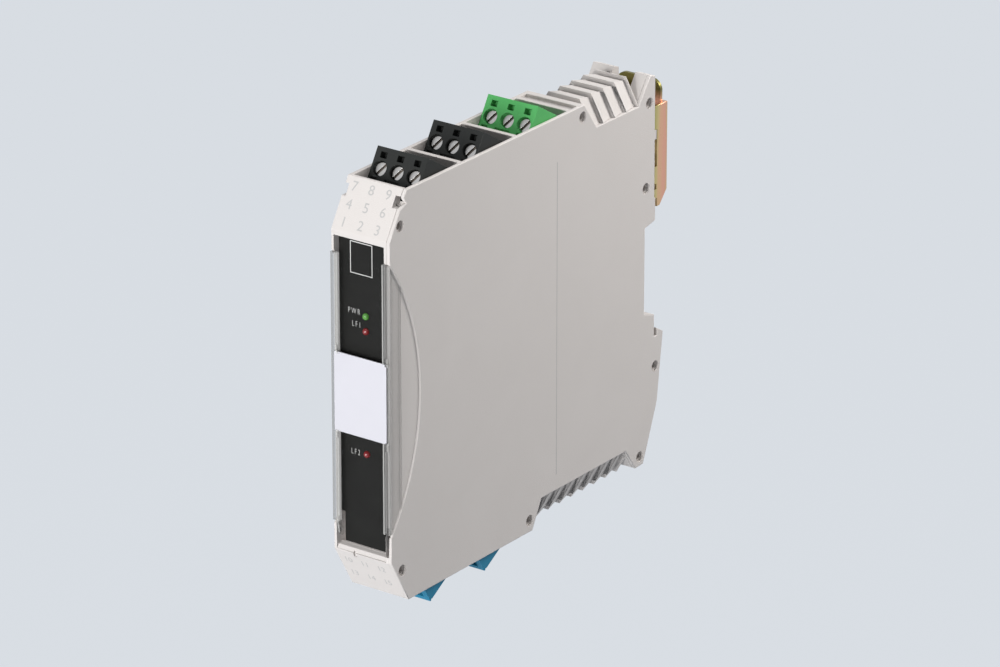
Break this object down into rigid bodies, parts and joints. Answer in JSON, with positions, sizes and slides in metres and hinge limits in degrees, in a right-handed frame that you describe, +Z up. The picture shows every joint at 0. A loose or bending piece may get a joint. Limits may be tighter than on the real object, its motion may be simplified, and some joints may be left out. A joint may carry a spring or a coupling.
{
  "type": "transmitter power supply",
  "caption": "Slim rail-mounted signal supply in a louvred housing, with plug-in screw terminals above and below, a hinged clear front cover and a sprung steel rail latch.",
  "frame": {"origin": "middle of the seat for the 35 mm rail, on the face that the rail's flanges lie against, halfway across the module", "axes": "+X along the rail, to the right seen from the front; +Y from the front towards the rail; +Z up the panel"},
  "size_m": [0.0176, 0.118, 0.1167],
  "materials": {
    "housing": "fine eroded light grey polyamide",
    "clear_cover": "clear polycarbonate",
    "panel": "black printed label",
    "marker": "white marking plate",
    "green_light": "diffuse green",
    "red_light": "diffuse red",
    "board": "solder resist",
    "core": "ferrite",
    "winding": "yellow tape over copper wire",
    "capacitor": "shrink sleeve",
    "chromated_steel": "yellow chromated sheet steel",
    "spring_steel": "spring wire",
    "black_plug": "black polyamide",
    "green_plug": "green polyamide",
    "blue_plug": "blue polyamide",
    "tinned_metal": "tinned copper alloy",
    "screw_steel": "plated steel"
  },
  "bodies": {
    "case": {"housing_tub": "housing", "side_cover": "housing", "front_panel": "panel", "power_light": "green_light", "fault_light_1": "red_light", "fault_light_2": "red_light", "circuit_board": "board", "transformer_core": "core", "transformer_winding": "winding", "capacitors": "capacitor", "header_pins": "tinned_metal", "latch_spring": "spring_steel", "top_header_1": "black_plug", "top_header_2": "black_plug", "top_header_3": "green_plug", "bottom_header_1": "blue_plug", "bottom_header_2": "blue_plug"},
    "cover": {"front_cover": "clear_cover", "marker_plate": "marker"},
    "latch": {"rail_latch": "chromated_steel"},
    "plug_top_1": {"top_plug_1": "black_plug", "top_contacts_1": "tinned_metal"},
    "top_screw_1_1_body": {"top_screw_1_1": "screw_steel"},
    "top_clamp_1_1_body": {"top_clamp_1_1": "screw_steel"},
    "top_screw_1_2_body": {"top_screw_1_2": "screw_steel"},
    "top_clamp_1_2_body": {"top_clamp_1_2": "screw_steel"},
    "top_screw_1_3_body": {"top_screw_1_3": "screw_steel"},
    "top_clamp_1_3_body": {"top_clamp_1_3": "screw_steel"},
    "plug_top_2": {"top_plug_2": "black_plug", "top_contacts_2": "tinned_metal"},
    "top_screw_2_1_body": {"top_screw_2_1": "screw_steel"},
    "top_clamp_2_1_body": {"top_clamp_2_1": "screw_steel"},
    "top_screw_2_2_body": {"top_screw_2_2": "screw_steel"},
    "top_clamp_2_2_body": {"top_clamp_2_2": "screw_steel"},
    "top_screw_2_3_body": {"top_screw_2_3": "screw_steel"},
    "top_clamp_2_3_body": {"top_clamp_2_3": "screw_steel"},
    "plug_top_3": {"top_plug_3": "green_plug", "top_contacts_3": "tinned_metal"},
    "top_screw_3_1_body": {"top_screw_3_1": "screw_steel"},
    "top_clamp_3_1_body": {"top_clamp_3_1": "screw_steel"},
    "top_screw_3_2_body": {"top_screw_3_2": "screw_steel"},
    "top_clamp_3_2_body": {"top_clamp_3_2": "screw_steel"},
    "top_screw_3_3_body": {"top_screw_3_3": "screw_steel"},
    "top_clamp_3_3_body": {"top_clamp_3_3": "screw_steel"},
    "plug_bottom_1": {"bottom_plug_1": "blue_plug", "bottom_contacts_1": "tinned_metal"},
    "bottom_screw_1_1_body": {"bottom_screw_1_1": "screw_steel"},
    "bottom_clamp_1_1_body": {"bottom_clamp_1_1": "screw_steel"},
    "bottom_screw_1_2_body": {"bottom_screw_1_2": "screw_steel"},
    "bottom_clamp_1_2_body": {"bottom_clamp_1_2": "screw_steel"},
    "bottom_screw_1_3_body": {"bottom_screw_1_3": "screw_steel"},
    "bottom_clamp_1_3_body": {"bottom_clamp_1_3": "screw_steel"},
    "plug_bottom_2": {"bottom_plug_2": "blue_plug", "bottom_contacts_2": "tinned_metal"},
    "bottom_screw_2_1_body": {"bottom_screw_2_1": "screw_steel"},
    "bottom_clamp_2_1_body": {"bottom_clamp_2_1": "screw_steel"},
    "bottom_screw_2_2_body": {"bottom_screw_2_2": "screw_steel"},
    "bottom_clamp_2_2_body": {"bottom_clamp_2_2": "screw_steel"},
    "bottom_screw_2_3_body": {"bottom_screw_2_3": "screw_steel"},
    "bottom_clamp_2_3_body": {"bottom_clamp_2_3": "screw_steel"}
  },
  "joints": [
    {"name": "cover_hinge", "type": "hinge", "parent": "case", "child": "cover", "pos_m": [0, -0.11, -0.0366], "axis": [1, 0, 0], "range_deg": [0, 100]},
    {"name": "latch_slide", "type": "slide", "parent": "case", "child": "latch", "axis": [0, 0, 1], "range_m": [0, 0.004], "stiffness_N_per_m": 1500, "springref_m": -0.002, "deforming": ["latch_spring"]},
    {"name": "top_plug_1_slide", "type": "slide", "parent": "case", "child": "plug_top_1", "axis": [0, 0, 1], "range_m": [0, 0.009]},
    {"name": "top_screw_1_1_turn", "type": "hinge", "parent": "plug_top_1", "child": "top_screw_1_1_body", "pos_m": [-0.00508, -0.0936, 0.0525], "axis": [0, 0.8572, -0.515], "range_deg": [0, 1584.1]},
    {"name": "top_clamp_1_1_lift", "type": "slide", "parent": "plug_top_1", "child": "top_clamp_1_1_body", "axis": [0, -0.8572, 0.515], "range_m": [0, 0.0022]},
    {"name": "top_screw_1_2_turn", "type": "hinge", "parent": "plug_top_1", "child": "top_screw_1_2_body", "pos_m": [0, -0.0936, 0.0525], "axis": [0, 0.8572, -0.515], "range_deg": [0, 1584.1]},
    {"name": "top_clamp_1_2_lift", "type": "slide", "parent": "plug_top_1", "child": "top_clamp_1_2_body", "axis": [0, -0.8572, 0.515], "range_m": [0, 0.0022]},
    {"name": "top_screw_1_3_turn", "type": "hinge", "parent": "plug_top_1", "child": "top_screw_1_3_body", "pos_m": [0.00508, -0.0936, 0.0525], "axis": [0, 0.8572, -0.515], "range_deg": [0, 1584.1]},
    {"name": "top_clamp_1_3_lift", "type": "slide", "parent": "plug_top_1", "child": "top_clamp_1_3_body", "axis": [0, -0.8572, 0.515], "range_m": [0, 0.0022]},
    {"name": "top_plug_2_slide", "type": "slide", "parent": "case", "child": "plug_top_2", "axis": [0, 0, 1], "range_m": [0, 0.009]},
    {"name": "top_screw_2_1_turn", "type": "hinge", "parent": "plug_top_2", "child": "top_screw_2_1_body", "pos_m": [-0.00508, -0.07105, 0.0525], "axis": [0, 0.8572, -0.515], "range_deg": [0, 1584.1]},
    {"name": "top_clamp_2_1_lift", "type": "slide", "parent": "plug_top_2", "child": "top_clamp_2_1_body", "axis": [0, -0.8572, 0.515], "range_m": [0, 0.0022]},
    {"name": "top_screw_2_2_turn", "type": "hinge", "parent": "plug_top_2", "child": "top_screw_2_2_body", "pos_m": [0, -0.07105, 0.0525], "axis": [0, 0.8572, -0.515], "range_deg": [0, 1584.1]},
    {"name": "top_clamp_2_2_lift", "type": "slide", "parent": "plug_top_2", "child": "top_clamp_2_2_body", "axis": [0, -0.8572, 0.515], "range_m": [0, 0.0022]},
    {"name": "top_screw_2_3_turn", "type": "hinge", "parent": "plug_top_2", "child": "top_screw_2_3_body", "pos_m": [0.00508, -0.07105, 0.0525], "axis": [0, 0.8572, -0.515], "range_deg": [0, 1584.1]},
    {"name": "top_clamp_2_3_lift", "type": "slide", "parent": "plug_top_2", "child": "top_clamp_2_3_body", "axis": [0, -0.8572, 0.515], "range_m": [0, 0.0022]},
    {"name": "top_plug_3_slide", "type": "slide", "parent": "case", "child": "plug_top_3", "axis": [0, 0, 1], "range_m": [0, 0.009]},
    {"name": "top_screw_3_1_turn", "type": "hinge", "parent": "plug_top_3", "child": "top_screw_3_1_body", "pos_m": [-0.00508, -0.0485, 0.0525], "axis": [0, 0.8572, -0.515], "range_deg": [0, 1584.1]},
    {"name": "top_clamp_3_1_lift", "type": "slide", "parent": "plug_top_3", "child": "top_clamp_3_1_body", "axis": [0, -0.8572, 0.515], "range_m": [0, 0.0022]},
    {"name": "top_screw_3_2_turn", "type": "hinge", "parent": "plug_top_3", "child": "top_screw_3_2_body", "pos_m": [0, -0.0485, 0.0525], "axis": [0, 0.8572, -0.515], "range_deg": [0, 1584.1]},
    {"name": "top_clamp_3_2_lift", "type": "slide", "parent": "plug_top_3", "child": "top_clamp_3_2_body", "axis": [0, -0.8572, 0.515], "range_m": [0, 0.0022]},
    {"name": "top_screw_3_3_turn", "type": "hinge", "parent": "plug_top_3", "child": "top_screw_3_3_body", "pos_m": [0.00508, -0.0485, 0.0525], "axis": [0, 0.8572, -0.515], "range_deg": [0, 1584.1]},
    {"name": "top_clamp_3_3_lift", "type": "slide", "parent": "plug_top_3", "child": "top_clamp_3_3_body", "axis": [0, -0.8572, 0.515], "range_m": [0, 0.0022]},
    {"name": "bottom_plug_1_slide", "type": "slide", "parent": "case", "child": "plug_bottom_1", "axis": [0, 0, -1], "range_m": [0, 0.009]},
    {"name": "bottom_screw_1_1_turn", "type": "hinge", "parent": "plug_bottom_1", "child": "bottom_screw_1_1_body", "pos_m": [-0.00508, -0.0936, -0.051], "axis": [0, 0.8572, 0.515], "range_deg": [0, 1584.1]},
    {"name": "bottom_clamp_1_1_lift", "type": "slide", "parent": "plug_bottom_1", "child": "bottom_clamp_1_1_body", "axis": [0, -0.8572, -0.515], "range_m": [0, 0.0022]},
    {"name": "bottom_screw_1_2_turn", "type": "hinge", "parent": "plug_bottom_1", "child": "bottom_screw_1_2_body", "pos_m": [0, -0.0936, -0.051], "axis": [0, 0.8572, 0.515], "range_deg": [0, 1584.1]},
    {"name": "bottom_clamp_1_2_lift", "type": "slide", "parent": "plug_bottom_1", "child": "bottom_clamp_1_2_body", "axis": [0, -0.8572, -0.515], "range_m": [0, 0.0022]},
    {"name": "bottom_screw_1_3_turn", "type": "hinge", "parent": "plug_bottom_1", "child": "bottom_screw_1_3_body", "pos_m": [0.00508, -0.0936, -0.051], "axis": [0, 0.8572, 0.515], "range_deg": [0, 1584.1]},
    {"name": "bottom_clamp_1_3_lift", "type": "slide", "parent": "plug_bottom_1", "child": "bottom_clamp_1_3_body", "axis": [0, -0.8572, -0.515], "range_m": [0, 0.0022]},
    {"name": "bottom_plug_2_slide", "type": "slide", "parent": "case", "child": "plug_bottom_2", "axis": [0, 0, -1], "range_m": [0, 0.009]},
    {"name": "bottom_screw_2_1_turn", "type": "hinge", "parent": "plug_bottom_2", "child": "bottom_screw_2_1_body", "pos_m": [-0.00508, -0.07105, -0.051], "axis": [0, 0.8572, 0.515], "range_deg": [0, 1584.1]},
    {"name": "bottom_clamp_2_1_lift", "type": "slide", "parent": "plug_bottom_2", "child": "bottom_clamp_2_1_body", "axis": [0, -0.8572, -0.515], "range_m": [0, 0.0022]},
    {"name": "bottom_screw_2_2_turn", "type": "hinge", "parent": "plug_bottom_2", "child": "bottom_screw_2_2_body", "pos_m": [0, -0.07105, -0.051], "axis": [0, 0.8572, 0.515], "range_deg": [0, 1584.1]},
    {"name": "bottom_clamp_2_2_lift", "type": "slide", "parent": "plug_bottom_2", "child": "bottom_clamp_2_2_body", "axis": [0, -0.8572, -0.515], "range_m": [0, 0.0022]},
    {"name": "bottom_screw_2_3_turn", "type": "hinge", "parent": "plug_bottom_2", "child": "bottom_screw_2_3_body", "pos_m": [0.00508, -0.07105, -0.051], "axis": [0, 0.8572, 0.515], "range_deg": [0, 1584.1]},
    {"name": "bottom_clamp_2_3_lift", "type": "slide", "parent": "plug_bottom_2", "child": "bottom_clamp_2_3_body", "axis": [0, -0.8572, -0.515], "range_m": [0, 0.0022]}
  ],
  "couplings": [
    {"joint": "top_screw_1_1_turn", "follows": "top_clamp_1_1_lift", "rad_per_m": 12566},
    {"joint": "top_screw_1_2_turn", "follows": "top_clamp_1_2_lift", "rad_per_m": 12566},
    {"joint": "top_screw_1_3_turn", "follows": "top_clamp_1_3_lift", "rad_per_m": 12566},
    {"joint": "top_screw_2_1_turn", "follows": "top_clamp_2_1_lift", "rad_per_m": 12566},
    {"joint": "top_screw_2_2_turn", "follows": "top_clamp_2_2_lift", "rad_per_m": 12566},
    {"joint": "top_screw_2_3_turn", "follows": "top_clamp_2_3_lift", "rad_per_m": 12566},
    {"joint": "top_screw_3_1_turn", "follows": "top_clamp_3_1_lift", "rad_per_m": 12566},
    {"joint": "top_screw_3_2_turn", "follows": "top_clamp_3_2_lift", "rad_per_m": 12566},
    {"joint": "top_screw_3_3_turn", "follows": "top_clamp_3_3_lift", "rad_per_m": 12566},
    {"joint": "bottom_screw_1_1_turn", "follows": "bottom_clamp_1_1_lift", "rad_per_m": 12566},
    {"joint": "bottom_screw_1_2_turn", "follows": "bottom_clamp_1_2_lift", "rad_per_m": 12566},
    {"joint": "bottom_screw_1_3_turn", "follows": "bottom_clamp_1_3_lift", "rad_per_m": 12566},
    {"joint": "bottom_screw_2_1_turn", "follows": "bottom_clamp_2_1_lift", "rad_per_m": 12566},
    {"joint": "bottom_screw_2_2_turn", "follows": "bottom_clamp_2_2_lift", "rad_per_m": 12566},
    {"joint": "bottom_screw_2_3_turn", "follows": "bottom_clamp_2_3_lift", "rad_per_m": 12566}
  ]
}
